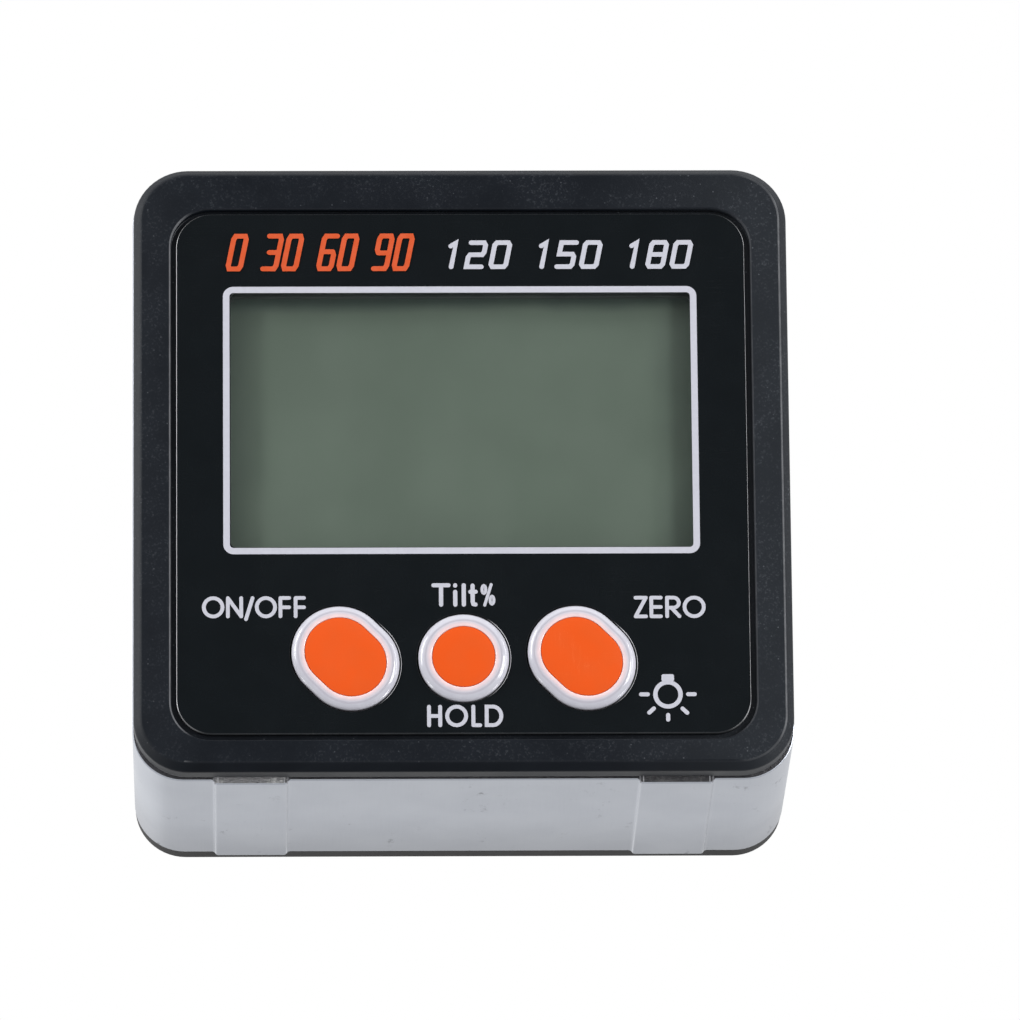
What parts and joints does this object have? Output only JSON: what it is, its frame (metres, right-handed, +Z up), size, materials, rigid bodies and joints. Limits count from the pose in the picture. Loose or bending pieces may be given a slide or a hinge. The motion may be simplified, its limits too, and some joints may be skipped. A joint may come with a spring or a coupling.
{
  "type": "digital inclinometer",
  "caption": "Square magnetic angle gauge with a recessed printed face, a display window and three keys, standing on two base pads, with a sliding battery door at the back.",
  "frame": {"origin": "centre of the footprint on the plane of the two base pads, midway between the key tops and the back face", "axes": "+Z up, the face looks towards -Y, +X is on the right of someone reading the display"},
  "size_m": [0.0542, 0.0272, 0.0524],
  "materials": {
    "aluminium": "fine satin, clear",
    "bezel_plastic": "fine-grained matt black",
    "printed_sheet": "glossy black with pale and orange print",
    "window": "clear acrylic",
    "lcd": "grey-green display glass",
    "guide": "milky light guide",
    "white_plastic": "matt white",
    "strip_rubber": "soft pink elastomer",
    "key_rim": "milky translucent gloss",
    "key_orange": "smooth orange",
    "cover_plastic": "fine-grained matt black",
    "board": "green solder mask",
    "chip": "moulded black",
    "steel": "zinc plated",
    "nickel": "nickel plated",
    "cell_wrap": "plain wrapped cell",
    "red_insulation": "red insulation",
    "black_insulation": "black insulation"
  },
  "bodies": {
    "body": {"housing_frame": "aluminium", "front_bezel": "bezel_plastic", "face_overlay": "printed_sheet", "display_window": "window", "lcd_front_glass": "lcd", "lcd_rear_glass": "lcd", "backlight_guide": "guide", "backlight_lamp": "white_plastic", "lcd_connector": "strip_rubber", "lcd_frame": "white_plastic", "left_switch_base": "chip", "middle_switch_base": "chip", "right_switch_base": "chip", "main_board": "board", "controller_chip": "chip", "tilt_sensor": "chip", "clock_crystal": "nickel", "power_capacitor": "steel", "upper_left_board_screw": "steel", "upper_right_board_screw": "steel", "lower_left_board_screw": "steel", "lower_right_board_screw": "steel", "back_cover": "cover_plastic", "upper_left_cover_screw": "steel", "upper_right_cover_screw": "steel", "lower_left_cover_screw": "steel", "lower_right_cover_screw": "steel", "upper_battery_cell": "cell_wrap", "lower_battery_cell": "cell_wrap", "bridge_contact": "nickel", "positive_contact": "nickel", "negative_contact": "nickel", "upper_contact_spring": "nickel", "lower_contact_spring": "nickel", "red_battery_wire": "red_insulation", "black_battery_wire": "black_insulation", "left_base_magnet": "nickel", "right_base_magnet": "nickel"},
    "left_key": {"left_key_cap": "key_rim", "left_key_inlay": "key_orange", "left_switch_plunger": "white_plastic"},
    "middle_key": {"middle_key_cap": "key_rim", "middle_key_inlay": "key_orange", "middle_switch_plunger": "white_plastic"},
    "right_key": {"right_key_cap": "key_rim", "right_key_inlay": "key_orange", "right_switch_plunger": "white_plastic"},
    "door": {"battery_door": "cover_plastic"}
  },
  "joints": [
    {"name": "left_key_press", "type": "slide", "parent": "body", "child": "left_key", "axis": [0, 1, 0], "range_m": [0, 0.0004], "stiffness_N_per_m": 1500},
    {"name": "middle_key_press", "type": "slide", "parent": "body", "child": "middle_key", "axis": [0, 1, 0], "range_m": [0, 0.0004], "stiffness_N_per_m": 1500},
    {"name": "right_key_press", "type": "slide", "parent": "body", "child": "right_key", "axis": [0, 1, 0], "range_m": [0, 0.0004], "stiffness_N_per_m": 1500},
    {"name": "battery_door_slide", "type": "slide", "parent": "body", "child": "door", "axis": [1, 0, 0], "range_m": [0, 0.045]}
  ]
}
